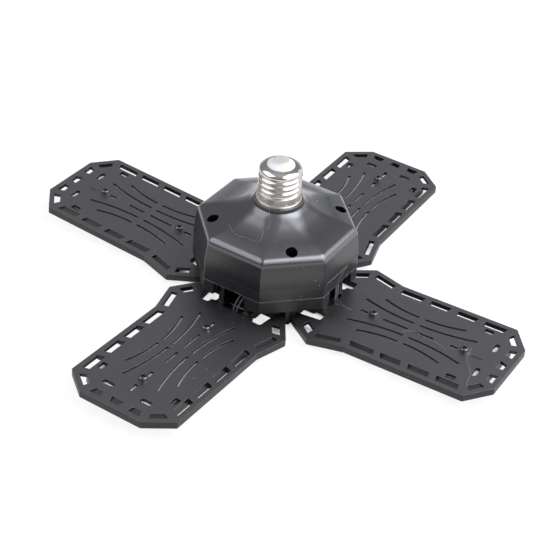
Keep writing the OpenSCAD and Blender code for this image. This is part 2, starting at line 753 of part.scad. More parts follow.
// Box with its web, the octagonal wall and the lip that enters the housing
module tray_walls() {
    difference() {
        union() {
            linear_extrude(web_z + web_t)
                polygon(cut_square(box_half, box_cut));
            translate([0, 0, web_z])
                linear_extrude(part_z - web_z)
                    polygon(rounded(octagon(tray_apothem), house_corner_r));
            translate([0, 0, web_z])
                linear_extrude(part_z + lip_h - web_z)
                    polygon(octagon(hub_apothem - house_wall - lip_gap));
        }
        difference() {
            translate([0, 0, web_z + web_t])
                linear_extrude(part_z + lip_h + over - web_z - web_t)
                    polygon(octagon(hub_apothem - house_wall - lip_gap - lip_t));
            for (k = [0 : 3])
                rotate([0, 0, 45 + 90 * k])
                    translate([well_at, 0, web_z])
                        cylinder(r = tray_boss_r, h = part_z - web_z);
        }
        translate([0, 0, floor_t])
            linear_extrude(web_z + web_t)
                polygon(cut_square(box_half - box_wall, box_cut * 0.6));
        for (k = [0 : 3])
            rotate([0, 0, 90 * k]) {
                translate([gate_u, -gate_half, web_z - over])
                    cube([tray_apothem + over - gate_u, 2 * gate_half,
                        part_z + lip_h + 2 * over - web_z]);
                rotate([0, 0, 45])
                    translate([well_at, 0, web_z + pilot_floor]) {
                        cylinder(r = house_screw_r + house_screw_fit, h = part_z - web_z);
                        translate([0, 0, part_z - web_z - pilot_floor])
                            cylinder(r = well_d / 2 + boss_wall + lip_gap, h = lip_h + over);
                    }
            }
    }
}

// Cheeks that carry the ends of the hinge pins
module tray_cheeks() {
    for (k = [0 : 3], s = [1, -1])
        rotate([0, 0, 90 * k])
            translate([cheek_back, s > 0 ? cheek_in : -pin_len / 2, web_z])
                cube([tray_in + weld - cheek_back, pin_len / 2 - cheek_in,
                    part_z - cheek_drop - web_z]);
}

module hinge_pins() {
    color([0.6, 0.6, 0.62])
        for (k = [0 : 3])
            rotate([0, 0, 90 * k])
                translate([hinge_u, pin_len / 2, hinge_z])
                    rotate([90, 0, 0])
                        cylinder(d = pin_d, h = pin_len);
}

module driver_board() {
    color([0.1, 0.35, 0.2])
        difference() {
            translate([0, 0, driver_z])
                linear_extrude(driver_t)
                    polygon(cut_square(driver_half, board_corner));
            for (x = [1, -1], y = [1, -1])
                translate([x * post_at, y * post_at, floor_t])
                    cylinder(r = peg_r + peg_play, h = parts_z);
        }
}

// Wound bobbin between the legs of its core
module transformer() {
    color([0.3, 0.28, 0.25])
        translate([transformer_at.x, transformer_at.y, parts_z]) {
            l = transformer_size.x;
            w = transformer_size.y;
            h = transformer_size.z;
            translate([-l / 2, -w / 4, h * 0.12])
                cube([l, w / 2, h * 0.88]);
            for (z = [0, h * 0.78])
                translate([-l * 0.36, -w / 2, z])
                    cube([l * 0.72, w, h * 0.12]);
            translate([-l * 0.32, -w * 0.44, 0])
                cube([l * 0.64, w * 0.88, h * 0.88]);
        }
}

module filter_capacitor() {
    color([0.15, 0.2, 0.35])
        translate([filter_at.x, filter_at.y, parts_z])
            rotate_extrude()
                polygon([[0, 0], [filter_r, 0], [filter_r, filter_h * 0.1],
                    [filter_r * 0.92, filter_h * 0.13], [filter_r, filter_h * 0.16],
                    [filter_r, filter_h * 0.98], [filter_r * 0.94, filter_h], [0, filter_h]]);
}

module film_capacitor() {
    color([0.75, 0.6, 0.2])
        translate([film_at.x, film_at.y, parts_z])
            linear_extrude(film_size.z)
                polygon(rounded([for (c = [[1, -1], [1, 1], [-1, 1], [-1, -1]])
                    [c.x * film_size.x / 2, c.y * film_size.y / 2]], film_size.y / 5));
}

module choke() {
    color([0.45, 0.28, 0.15])
        translate([choke_at.x, choke_at.y, parts_z])
            rotate_extrude()
                polygon([[0, 0], [choke_r, 0], [choke_r, choke_h * 0.15],
                    [choke_r * 0.88, choke_h * 0.15], [choke_r * 0.88, choke_h * 0.85],
                    [choke_r, choke_h * 0.85], [choke_r, choke_h], [0, choke_h]]);
}

module live_lead() {
    color([0.6, 0.15, 0.12])
        cap_lead(live_route, 0);
}

module neutral_lead() {
    color([0.15, 0.15, 0.16])
        cap_lead(neutral_route, neutral_turn);
}

// Outer face of the cap's sheet from the flared rim over the thread to the opening in the dome
thread_mid = (crest_r + thread_root_r) / 2;
cap_face = concat(
    [[cap_skirt_r + flange_w, cap_z], [cap_skirt_r + flange_w, cap_z + flange_h * 0.4],
        [cap_skirt_r, cap_z + flange_h], [cap_skirt_r, skirt_top_z - flange_h * 0.4],
        [cap_skirt_r - flange_w * 0.6, skirt_top_z],
        [thread_root_r, first_crest_z - groove_share * pitch]],
    [for (i = [-1 : (crests - 1) * thread_steps + 1]) [thread_mid
        + (crest_r - thread_mid) * cos(360 * i / thread_steps),
        first_crest_z + pitch * i / thread_steps]],
    [for (i = [0 : dome_steps]) let (a = 84 * i / dome_steps)
        [dome_hole_r + seat_w + (thread_root_r - dome_hole_r - seat_w) * cos(a),
            dome_z + dome_h * sin(a) / sin(84)]],
    [[dome_hole_r, cone_z]]);
cap_inner = [for (i = [0 : len(cap_face) - 1])
    let (n = len(cap_face) - 1,
        t = unit(cap_face[min(i + 1, n)] - cap_face[max(i - 1, 0)]))
    i == 0 ? cap_face[0] - [sheet_t, 0] : i == n ? cap_face[n] - [0, sheet_t]
        : cap_face[i] + left(t) * sheet_t];

module screw_shell() {
    color([0.8, 0.8, 0.82])
        rotate_extrude()
            polygon(concat(cap_face, [for (i = [len(cap_inner) - 1 : -1 : 0]) cap_inner[i]]));
}

module cap_insulator() {
    color([0.93, 0.92, 0.88])
        rotate_extrude()
            polygon([[stem_r + stem_play, cone_z - plug_d], [plug_r, cone_z - plug_d],
                [plug_r, cone_z], [cone_foot_r, cone_z], [cone_foot_r, cone_z + cone_h * 0.12],
                [cone_top_r + (cone_foot_r - cone_top_r) * 0.25, cone_z + cone_h * 0.7],
                [cone_top_r, contact_z], [stem_r + stem_play, contact_z]]);
}

module centre_contact() {
    color([0.8, 0.76, 0.62])
        rotate_extrude()
            polygon([[0, contact_z - stem_len], [stem_r, contact_z - stem_len],
                [stem_r, contact_z], [contact_r, contact_z], [contact_r, contact_z + contact_t / 3],
                [contact_r * 0.8, contact_z + contact_t * 0.8], [contact_r * 0.3, contact_z + contact_t],
                [0, contact_z + contact_t]]);
}

module panel_1_shell() {
    color([0.17, 0.17, 0.18])
        on_leaf(1)
            leaf_shell();
}

module panel_1_led_board() {
    color([0.8, 0.62, 0.4])
        on_leaf(1)
            led_board();
}

module panel_1_leds() {
    color([0.95, 0.85, 0.4])
        on_leaf(1)
            leds();
}

module panel_1_cover() {
    color([0.93, 0.94, 0.93])
        on_leaf(1)
            cover();
}

module panel_1_screws() {
    color([0.08, 0.08, 0.08])
        on_leaf(1)
            leaf_screws();
}

module panel_1_leads() {
    leaf_leads(1);
}

module panel_2_shell() {
    color([0.17, 0.17, 0.18])
        on_leaf(2)
            leaf_shell();
}

module panel_2_led_board() {
    color([0.8, 0.62, 0.4])
        on_leaf(2)
            led_board();
}

module panel_2_leds() {
    color([0.95, 0.85, 0.4])
        on_leaf(2)
            leds();
}

module panel_2_cover() {
    color([0.93, 0.94, 0.93])
        on_leaf(2)
            cover();
}

module panel_2_screws() {
    color([0.08, 0.08, 0.08])
        on_leaf(2)
            leaf_screws();
}

module panel_2_leads() {
    leaf_leads(2);
}

module panel_3_shell() {
    color([0.17, 0.17, 0.18])
        on_leaf(3)
            leaf_shell();
}

module panel_3_led_board() {
    color([0.8, 0.62, 0.4])
        on_leaf(3)
            led_board();
}

module panel_3_leds() {
    color([0.95, 0.85, 0.4])
        on_leaf(3)
            leds();
}

module panel_3_cover() {
    color([0.93, 0.94, 0.93])
        on_leaf(3)
            cover();
}

module panel_3_screws() {
    color([0.08, 0.08, 0.08])
        on_leaf(3)
            leaf_screws();
}

module panel_3_leads() {
    leaf_leads(3);
}

module panel_4_shell() {
    color([0.17, 0.17, 0.18])
        on_leaf(4)
            leaf_shell();
}

module panel_4_led_board() {
    color([0.8, 0.62, 0.4])
        on_leaf(4)
            led_board();
}

module panel_4_leds() {
    color([0.95, 0.85, 0.4])
        on_leaf(4)
            leds();
}

module panel_4_cover() {
    color([0.93, 0.94, 0.93])
        on_leaf(4)
            cover();
}

module panel_4_screws() {
    color([0.08, 0.08, 0.08])
        on_leaf(4)
            leaf_screws();
}

module panel_4_leads() {
    leaf_leads(4);
}

screw_shell();
cap_insulator();
centre_contact();
upper_housing();
base_tray();
housing_screws();
hinge_pins();
driver_board();
transformer();
filter_capacitor();
film_capacitor();
choke();
live_lead();
neutral_lead();
panel_1_shell();
panel_1_led_board();
panel_1_leds();
panel_1_cover();
panel_1_screws();
panel_1_leads();
panel_2_shell();
panel_2_led_board();
panel_2_leds();
panel_2_cover();
panel_2_screws();
panel_2_leads();
panel_3_shell();
panel_3_led_board();
panel_3_leds();
panel_3_cover();
panel_3_screws();
panel_3_leads();
panel_4_shell();
panel_4_led_board();
panel_4_leds();
panel_4_cover();
panel_4_screws();
panel_4_leads();
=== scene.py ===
"""Deformable garage light: fine pieces, materials, camera and light around the CAD frame.

Lengths are in mm and angles in degrees, in materials and lights in metres. The leaves 1 to 4 point
along +X, +Y, -X and -Y. A leaf's own frame is the level leaf along +X with Z = 0 at its top face.
"""
import math
import random

import bmesh
import bpy
from mathutils import Matrix, Vector
from mathutils.bvhtree import BVHTree
from mathutils.interpolate import poly_3d_calc


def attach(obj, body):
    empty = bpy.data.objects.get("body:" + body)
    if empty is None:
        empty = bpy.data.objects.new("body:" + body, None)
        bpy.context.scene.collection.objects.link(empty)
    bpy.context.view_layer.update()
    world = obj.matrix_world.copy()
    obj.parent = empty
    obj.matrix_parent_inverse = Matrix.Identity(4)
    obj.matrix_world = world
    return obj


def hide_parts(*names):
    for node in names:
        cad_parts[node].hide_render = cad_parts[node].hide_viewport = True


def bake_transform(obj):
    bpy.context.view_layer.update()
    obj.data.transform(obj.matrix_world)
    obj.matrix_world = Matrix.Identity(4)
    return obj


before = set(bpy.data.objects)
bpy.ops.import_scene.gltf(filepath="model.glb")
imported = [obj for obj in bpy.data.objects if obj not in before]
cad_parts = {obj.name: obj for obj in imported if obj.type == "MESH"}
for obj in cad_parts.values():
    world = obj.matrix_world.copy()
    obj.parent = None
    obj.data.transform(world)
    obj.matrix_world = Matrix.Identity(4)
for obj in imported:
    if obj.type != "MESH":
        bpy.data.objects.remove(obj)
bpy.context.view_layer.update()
random.seed(7)
MM = 0.001
# Height of a level leaf's top face, place of the hinge axis, and each leaf's tilt at rest
LEAF_TOP = 6.8
HINGE_U, HINGE_Z = 38.5, 16.8
TILTS = {1: 3.2, 2: 2.6, 3: 0.8, 4: 3.1}


def toward(azimuth, elevation):
    """Unit vector at an azimuth and an elevation."""
    a, e = math.radians(azimuth), math.radians(elevation)
    return Vector((math.cos(e) * math.cos(a), math.cos(e) * math.sin(a), math.sin(e)))


# Camera -------------------------------------------------------------------
CAMERA_AZIMUTH, CAMERA_ELEVATION, CAMERA_DISTANCE = 30.535, 36.788, 856.16
# Small turns of the camera, in radians
PAN, PITCH, ROLL = -0.0035, 0.0029, -0.075
# Focal length and frame width in pixels, and the sensor's width
FOCAL_PX, FRAME_PX, SENSOR = 1375.32, 555, 36


def make_camera():
    away = toward(CAMERA_AZIMUTH, CAMERA_ELEVATION)
    forward = -away
    right = forward.cross(Vector((0, 0, 1))).normalized()
    up = right.cross(forward)
    look = Matrix((right, up, forward))
    ry = Matrix(((math.cos(PAN), 0, math.sin(PAN)), (0, 1, 0), (-math.sin(PAN), 0, math.cos(PAN))))
    rx = Matrix(((1, 0, 0), (0, math.cos(PITCH), math.sin(PITCH)), (0, -math.sin(PITCH), math.cos(PITCH))))
    rz = Matrix(((math.cos(ROLL), -math.sin(ROLL), 0), (math.sin(ROLL), math.cos(ROLL), 0), (0, 0, 1)))
    rows = rz @ rx @ ry @ look
    data = bpy.data.cameras.new("camera")
    data.sensor_width = SENSOR
    data.lens = FOCAL_PX / FRAME_PX * SENSOR
    data.clip_start, data.clip_end = 0.05, 30
    camera = bpy.data.objects.new("camera", data)
    bpy.context.scene.collection.objects.link(camera)
    place = away * CAMERA_DISTANCE + Vector((0, 0, LEAF_TOP))
    turn = Matrix((rows[0], rows[1], -rows[2])).transposed()
    camera.matrix_world = Matrix.Translation(place * MM) @ turn.to_4x4()
    bpy.context.scene.camera = camera


# Materials ----------------------------------------------------------------
class Nodes:
    """Short way to build a node tree."""

    def __init__(self, name):
        self.material = bpy.data.materials.new(name)
        self.material.use_nodes = True
        self.tree = self.material.node_tree
        self.tree.nodes.clear()
        self.out = self.tree.nodes.new("ShaderNodeOutputMaterial")
        self.shader = self.add("ShaderNodeBsdfPrincipled")
        self.link(self.shader.outputs[0], self.out.inputs[0])
        self.coords = self.add("ShaderNodeTexCoord").outputs["Object"]

    def add(self, kind, **values):
        node = self.tree.nodes.new(kind)
        for key, value in values.items():
            setattr(node, key, value)
        return node

    def link(self, a, b):
        self.tree.links.new(a, b)

    def axes(self, vector):
        """The X, Y and Z of a vector."""
        node = self.add("ShaderNodeSeparateXYZ")
        self.link(vector, node.inputs[0])
        return node.outputs

    def facing(self):
        """The X, Y and Z of the surface normal."""
        return self.axes(self.add("ShaderNodeNewGeometry").outputs["Normal"])

    def noise(self, scale, detail):
        node = self.add("ShaderNodeTexNoise")
        node.inputs["Scale"].default_value = scale
        node.inputs["Detail"].default_value = detail
        self.link(self.coords, node.inputs["Vector"])
        return node.outputs["Fac"]

    def spread(self, value, low=0, high=1):
        """Noise, whose values lie near the middle, spread over a range."""
        return self.span(value, 0.3, 0.7, low, high)

    def span(self, value, a, b, low, high):
        """Values from a to b mapped to low to high and held there."""
        node = self.add("ShaderNodeMapRange")
        for i, x in enumerate((a, b, low, high)):
            node.inputs[i + 1].default_value = x
        self.link(value, node.inputs[0])
        return node.outputs[0]

    def math(self, kind, a, b=None):
        node = self.add("ShaderNodeMath", operation=kind)
        for i, x in enumerate((a, b)):
            if x is None:
                continue
            if isinstance(x, (int, float)):
                node.inputs[i].default_value = x
            else:
                self.link(x, node.inputs[i])
        return node.outputs[0]

    def mix(self, share, a, b):
        node = self.add("ShaderNodeMix", data_type="RGBA")
        for socket, x in ((node.inputs[0], share), (node.inputs[6], a), (node.inputs[7], b)):
            if isinstance(x, tuple):
                socket.default_value = (*x, 1)
            else:
                self.link(x, socket)
        return node.outputs[2]

    def bump(self, height, strength, distance, normal=None):
        node = self.add("ShaderNodeBump")
        node.inputs["Strength"].default_value = strength
        node.inputs["Distance"].default_value = distance
        self.link(height, node.inputs["Height"])
        if normal is not None:
            self.link(normal, node.inputs["Normal"])
        return node.outputs[0]

    def soft_edge(self, radius):
        """Normal rounded near edges; the radius is in metres."""
        node = self.add("ShaderNodeBevel", samples=4)
        node.inputs["Radius"].default_value = radius
        return node.outputs[0]

    def edge_share(self, radius):
        """How far the softened normal turns from the true one: 0 on a flat, up to 1 at an edge."""
        soft = self.soft_edge(radius)
        geometry = self.add("ShaderNodeNewGeometry")
        dot = self.add("ShaderNodeVectorMath", operation="DOT_PRODUCT")
        self.link(soft, dot.inputs[0])
        self.link(geometry.outputs["True Normal"], dot.inputs[1])
        return self.span(dot.outputs["Value"], 0.999, 0.85, 0, 1)

    def set(self, **values):
        for key, value in values.items():
            socket = self.shader.inputs[key.replace("_", " ")]
            if isinstance(value, (int, float, tuple)):
                socket.default_value = value
            else:
                self.link(value, socket)


def moulded_black(name, dark, light, rough, sheen, grain, edge, dust=0.0, lines=()):
    """Black moulded plastic: fine spark-eroded grain, cloudy gloss, edges a little paler as rubbed wear and
    as a painted highlight, sparse dust.

    A line round the part is its height and half width in metres, its tone, the strength of its relief
    and its waviness in metres.
    """
    m = Nodes(name)
    base = m.mix(m.spread(m.noise(38, 4)), dark, light)
    # Edges painted paler: partly rubbed wear, partly a painted highlight along the edges.
    edge_wear_and_highlight = m.edge_share(0.0003)
    scuff_and_highlight = m.math("MULTIPLY", edge_wear_and_highlight, m.span(m.noise(900, 2), 0.35, 0.7, 0.25, 1))
    base = m.mix(m.math("MULTIPLY", scuff_and_highlight, edge), base, (0.16, 0.16, 0.165))
    if dust:
        voronoi = m.add("ShaderNodeTexVoronoi", feature="F1")
        voronoi.inputs["Scale"].default_value = 240
        m.link(m.coords, voronoi.inputs["Vector"])
        speck = m.math("MULTIPLY", m.span(voronoi.outputs["Distance"], 0.1, 0.05, 0, 1),
                       m.span(m.noise(30, 1), 0.45, 0.57, 0, 1))
        base = m.mix(m.math("MULTIPLY", speck, dust), base, (0.5, 0.5, 0.5))
    gloss = m.spread(m.noise(55, 3), rough - 0.04, rough + 0.05)
    normal = m.bump(m.noise(4200, 2), grain, 0.00012, m.soft_edge(0.0004))
    for height, half, tone, depth, wander in lines:
        wave = m.math("MULTIPLY", m.math("SUBTRACT", m.noise(60, 2), 0.5), wander)
        z = m.math("ADD", m.axes(m.coords)["Z"], wave)
        band = m.span(m.math("ABSOLUTE", m.math("SUBTRACT", z, height)), half, half * 0.5, 0, 1)
        share = band
        if tone > 0.05:
            share = m.math("MULTIPLY", band, m.span(m.noise(210, 3), 0.36, 0.6, 0.25, 1))
        base = m.mix(share, base, (tone, tone, tone * 1.03))
        normal = m.bump(band, depth, 0.0002, normal)
    upward = m.span(m.facing()["Z"], 0.06, 0.4, 0, 1)
    polish = m.math("MULTIPLY", upward, m.spread(m.noise(90, 3), 0.95, 1))
    m.set(Base_Color=base, Roughness=gloss, IOR=1.54, Normal=normal, Coat_Weight=polish, Coat_IOR=2.25,
          Coat_Roughness=sheen, Coat_Normal=normal)
    return m.material


def metal(name, colour, rough, marks, bump):
    m = Nodes(name)
    tone = m.mix(m.spread(m.noise(160, 4), 0, marks), colour, tuple(c * 0.6 for c in colour))
    gloss = m.span(m.noise(700, 3), 0.3, 0.75, rough * 0.7, rough * 1.5)
    m.set(Base_Color=tone, Metallic=1.0, Roughness=gloss, Normal=m.bump(m.noise(900, 2), bump, 0.00005))
    return m.material


def rolled_nickel():
    """Plated screw shell: satin skirt, rolled thread, bright dome."""
    m = Nodes("nickel_shell")
    z = m.axes(m.coords)["Z"]
    tone = m.mix(m.spread(m.noise(160, 4), 0, 0.35), (0.74, 0.7, 0.655), (0.6, 0.56, 0.52))
    dome = m.span(z, 0.0822, 0.083, 0, 1)
    skirt = m.span(z, 0.0707, 0.0698, 0, 1)
    body = m.spread(m.noise(420, 3), 0.13, 0.2)
    gloss = m.math("ADD", body, m.math("MULTIPLY", skirt, 0.16))
    gloss = m.math("SUBTRACT", gloss, m.math("MULTIPLY", dome, 0.08))
    # The skirt's darker, browner tone is painted shade.
    tone = m.mix(m.math("MULTIPLY", skirt, 0.6), tone, (0.5, 0.46, 0.415))
    m.set(Base_Color=tone, Metallic=1.0, Roughness=gloss, Normal=m.bump(m.noise(700, 2), 0.04, 0.00005))
    return m.material


def plastic(name, colour, shade, rough, scale, bump, subsurface=0.0):
    m = Nodes(name)
    base = m.mix(m.spread(m.noise(scale, 4)), colour, shade)
    m.set(Base_Color=base, Roughness=m.spread(m.noise(scale * 2, 3), rough * 0.85, rough * 1.15),
          Normal=m.bump(m.noise(scale * 14, 2), bump, 0.00005, m.soft_edge(0.0003)))
    if subsurface:
        m.set(Subsurface_Weight=subsurface, Subsurface_Radius=(0.004, 0.004, 0.004), Subsurface_Scale=0.5)
    return m.material


def board(name, mask, copper, scale):
    """Circuit board: laminate colour with etched runs showing through."""
    m = Nodes(name)
    brick = m.add("ShaderNodeTexBrick")
    brick.inputs["Scale"].default_value = scale
    brick.inputs["Mortar Size"].default_value = 0.035
    m.link(m.coords, brick.inputs["Vector"])
    runs = brick.outputs["Fac"]
    grain = m.mix(m.spread(m.noise(500, 3)), mask, tuple(c * 0.8 for c in mask))
    m.set(Base_Color=m.mix(runs, grain, copper), Roughness=m.spread(m.noise(300, 2), 0.35, 0.5),
          Normal=m.bump(runs, 0.3, 0.00005))
    return m.material


def light_board():
    """Aluminium board: bare metal back, tan laminate along the edges and on the lit side."""
    m = Nodes("light_board")
    place = m.axes(m.coords)
    across = m.math("MINIMUM", m.math("ABSOLUTE", place["X"]), m.math("ABSOLUTE", place["Y"]))
    upward = m.span(m.facing()["Z"], 0.8, 0.9, 0, 1)
    back = m.math("MULTIPLY", upward, m.span(across, 0.0226, 0.0223, 0, 1))
    tan = m.mix(m.spread(m.noise(240, 4)), (0.19, 0.135, 0.085), (0.15, 0.105, 0.07))
    rolled = m.noise(300, 4)
    silver = m.mix(m.spread(rolled), (0.75, 0.75, 0.76), (0.62, 0.62, 0.63))
    m.set(Base_Color=m.mix(back, tan, silver), Metallic=m.math("MULTIPLY", back, 0.4),
          Roughness=m.spread(rolled, 0.38, 0.55), Normal=m.bump(m.noise(1400, 2), 0.15, 0.00005))
    return m.material


MATERIALS = {}


def make_materials():
    t = MATERIALS
    t["leaf"] = moulded_black("leaf_black", (0.004, 0.004, 0.0044), (0.007, 0.007, 0.0077),
                              0.42, 0.4, 0.3, 0.4, 0.5)
    crease, parting = (0.0293, 0.00024, 0.035, -0.8, 0.0), (0.02225, 0.00022, 0.3, 0.3, 0.0002)
    t["housing"] = moulded_black("housing_black", (0.004, 0.004, 0.0044), (0.006, 0.006, 0.0066),
                                 0.3, 0.21, 0.15, 0.3, 0.6, (crease, parting))
    t["tray"] = moulded_black("tray_black", (0.003, 0.003, 0.0033), (0.005, 0.005, 0.0055),
                              0.4, 0.35, 0.3, 0.25)
    t["screw"] = plastic("screw_black", (0.008, 0.008, 0.008), (0.016, 0.016, 0.016), 0.2, 400, 0.2)
    shine = t["screw"].node_tree.nodes["Principled BSDF"].inputs
    shine["Coat Weight"].default_value = 0.7
    shine["Coat IOR"].default_value = 2.4
    shine["Coat Roughness"].default_value = 0.14
    t["steel"] = metal("pin_steel", (0.6, 0.6, 0.61), 0.3, 0.5, 0.2)
    t["shell"] = rolled_nickel()
    t["contact"] = plastic("tinned_contact", (0.78, 0.735, 0.66), (0.7, 0.66, 0.59), 0.45, 300, 0.2)
    t["contact"].node_tree.nodes["Principled BSDF"].inputs["Metallic"].default_value = 0.35
    t["insulator"] = plastic("insulator_white", (0.94, 0.94, 0.93), (0.92, 0.92, 0.91),
                             0.35, 140, 0.06, 0.1)
    t["cover"] = plastic("milky_cover", (0.8, 0.81, 0.81), (0.74, 0.76, 0.76), 0.4, 60, 0.1, 0.3)
    t["lead"] = plastic("lead_grey", (0.17, 0.17, 0.17), (0.12, 0.12, 0.12), 0.3, 300, 0.1)
    t["tan_board"] = light_board()
    t["green_board"] = board("driver_board", (0.03, 0.16, 0.07), (0.08, 0.3, 0.13), 60)
    t["phosphor"] = plastic("phosphor", (0.85, 0.7, 0.22), (0.78, 0.62, 0.18), 0.4, 900, 0.1)
    t["ferrite"] = plastic("ferrite", (0.06, 0.06, 0.06), (0.1, 0.1, 0.095), 0.5, 260, 0.3)
    t["sleeve"] = plastic("capacitor_sleeve", (0.03, 0.04, 0.1), (0.04, 0.05, 0.13), 0.3, 200, 0.1)
    t["epoxy"] = plastic("capacitor_epoxy", (0.5, 0.3, 0.05), (0.42, 0.25, 0.04), 0.35, 200, 0.15)
    t["copper"] = metal("copper_wire", (0.55, 0.27, 0.14), 0.35, 0.4, 0.4)
    t["red"] = plastic("lead_red", (0.4, 0.03, 0.02), (0.33, 0.02, 0.02), 0.45, 300, 0.1)
    t["black_lead"] = plastic("lead_black", (0.02, 0.02, 0.02), (0.03, 0.03, 0.03), 0.45, 300, 0.1)
    t["lint"] = plastic("lint", (0.55, 0.55, 0.54), (0.45, 0.45, 0.44), 0.8, 900, 0.1)


def dress(node, key):
    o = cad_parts[node]
    o.data.materials.clear()
    o.data.materials.append(MATERIALS[key])


def dress_all():
    """Materials of the CAD's own nodes, also of those that a finer piece replaces."""
    plain = {"screw_shell": "shell", "cap_insulator": "insulator", "centre_contact": "contact",
             "upper_housing": "housing", "base_tray": "tray", "housing_screws": "screw",
             "hinge_pins": "steel", "driver_board": "green_board", "transformer": "ferrite",
             "filter_capacitor": "sleeve", "film_capacitor": "epoxy", "choke": "copper",
             "live_lead": "red", "neutral_lead": "black_lead"}
    for node, key in plain.items():
        dress(node, key)
    for k in TILTS:
        for part, key in (("shell", "leaf"), ("led_board", "tan_board"), ("leds", "phosphor"),
                          ("cover", "cover"), ("screws", "screw"), ("leads", "lead")):
            dress(f"panel_{k}_{part}", key)


# Pieces -------------------------------------------------------------------
def mesh_object(name, verts, faces, material, smooth=True):
    """Object from vertices in metres, with its faces turned outward."""
    mesh = bpy.data.meshes.new(name)
    mesh.from_pydata([tuple(v) for v in verts], [], faces)
    bm = bmesh.new()
    bm.from_mesh(mesh)
    bmesh.ops.recalc_face_normals(bm, faces=bm.faces)
    bm.to_mesh(mesh)
    bm.free()
    for p in mesh.polygons:
        p.use_smooth = smooth
    mesh.materials.append(material)
    o = bpy.data.objects.new(name, mesh)
    bpy.context.scene.collection.objects.link(o)
    return o


def spin(k):
    """From leaf 1's side of the hub to leaf k's."""
    return Matrix.Rotation(math.radians(90 * (k - 1)), 4, "Z")


def leaf_matrix(k):
    """From the level leaf's own frame to the tilted leaf k, and from mm to metres."""
    tilt = Matrix.Rotation(-math.radians(TILTS[k]), 4, "Y")
    hinge = Matrix.Translation((HINGE_U, 0, HINGE_Z))
    m = spin(k) @ hinge @ tilt @ Matrix.Translation((-HINGE_U, 0, -HINGE_Z + LEAF_TOP))
    return Matrix.Scale(MM, 4) @ m


def circle(sides):
    """Angles round a circle, in radians."""
    return [2 * math.pi * c / sides for c in range(sides)]


def grid_faces(rows, cols):
    """Faces between rings of vertices."""
    return [(r * cols + c, r * cols + (c + 1) % cols, (r + 1) * cols + (c + 1) % cols, (r + 1) * cols + c)
            for r in range(rows - 1) for c in range(cols)]


def end_faces(rows, cols):
    """Faces that close the first and the last ring."""
    return [tuple(range(cols))[::-1], tuple((rows - 1) * cols + c for c in range(cols))]


def smooth_path(points, steps):
    """Catmull-Rom curve through the points."""
    pts = [Vector(p) for p in points]
    pts = [pts[0] * 2 - pts[1]] + pts + [pts[-1] * 2 - pts[-2]]
    out = []
    for i in range(1, len(pts) - 2):
        p0, p1, p2, p3 = pts[i - 1:i + 3]
        for j in range(steps):
            t = j / steps
            out.append(0.5 * (2 * p1 + (p2 - p0) * t + (2 * p0 - 5 * p1 + 4 * p2 - p3) * t * t
                              + (3 * p1 - p0 - 3 * p2 + p3) * t ** 3))
    return out + [pts[-2]]


def tube(path, r, sides):
    """Rings along a path, closed at both ends."""
    verts = []
    side = Vector((0, 1, 0))
    for i, p in enumerate(path):
        along = (path[min(i + 1, len(path) - 1)] - path[max(i - 1, 0)]).normalized()
        side = (side - along * side.dot(along)).normalized()
        other = along.cross(side)
        verts += [p + (side * math.cos(a) + other * math.sin(a)) * r for a in circle(sides)]
    return verts, grid_faces(len(path), sides) + end_faces(len(path), sides)


def join(parts):
    """Several lists of vertices and faces as one."""
    verts, faces = [], []
    for v, f in parts:
        n = len(verts)
        verts += v
        faces += [tuple(i + n for i in g) for g in f]
    return verts, faces


# Screw cap: rolled thread as a right-handed helix, punched skirt, mirror dome.
# Azimuth where the first crest has its own height, and from which the dimples are counted
CAP_FRONT = 30.5
DIMPLES = [-36.5 + 30 * i for i in range(12)]
SKIRT_R, DIMPLE_Z = 13.25, 66.7
THREAD_PITCH, CREST_R, ROOT_R, FIRST_CREST_Z = 3.63, 13.2, 12.05, 72.87
THREAD_LOW, THREAD_STEP, THREAD_ROWS = 70.5, 0.116, 101
PLAIN, PUNCHED, THREADED = 0, 1, 2


def thread_r(a, z):
    """Radius of the rolled thread, which fades out at both ends."""
    top = THREAD_LOW + THREAD_STEP * (THREAD_ROWS - 1)
    fade = min(1, max(0, (z - 70.1) / 1.0)) * min(1, max(0, (top - z) / 1.1))
    fade = fade * fade * (3 - 2 * fade)
    turns = (z - FIRST_CREST_Z) / THREAD_PITCH - (a - math.radians(CAP_FRONT)) / (2 * math.pi)
    wave = 0.5 + 0.5 * math.cos(2 * math.pi * turns)
    return ROOT_R + (CREST_R - ROOT_R) * wave * fade


def punched_r(a, z):
    """Radius of the skirt, pressed in at the dimples with a raised rim round each."""
    r = SKIRT_R
    for d in DIMPLES:
        turn = a - (math.radians(CAP_FRONT) + math.radians(d))
        x = ((turn + math.pi) % (2 * math.pi) - math.pi) * SKIRT_R
        if abs(x) < 2.2:
            q = (x / 0.75) ** 2 + ((z - DIMPLE_Z) / 0.7) ** 2
            r += -0.5 * math.exp(-q) + 0.13 * math.exp(-(math.sqrt(q) - 1.7) ** 2 / 0.2)
    return r


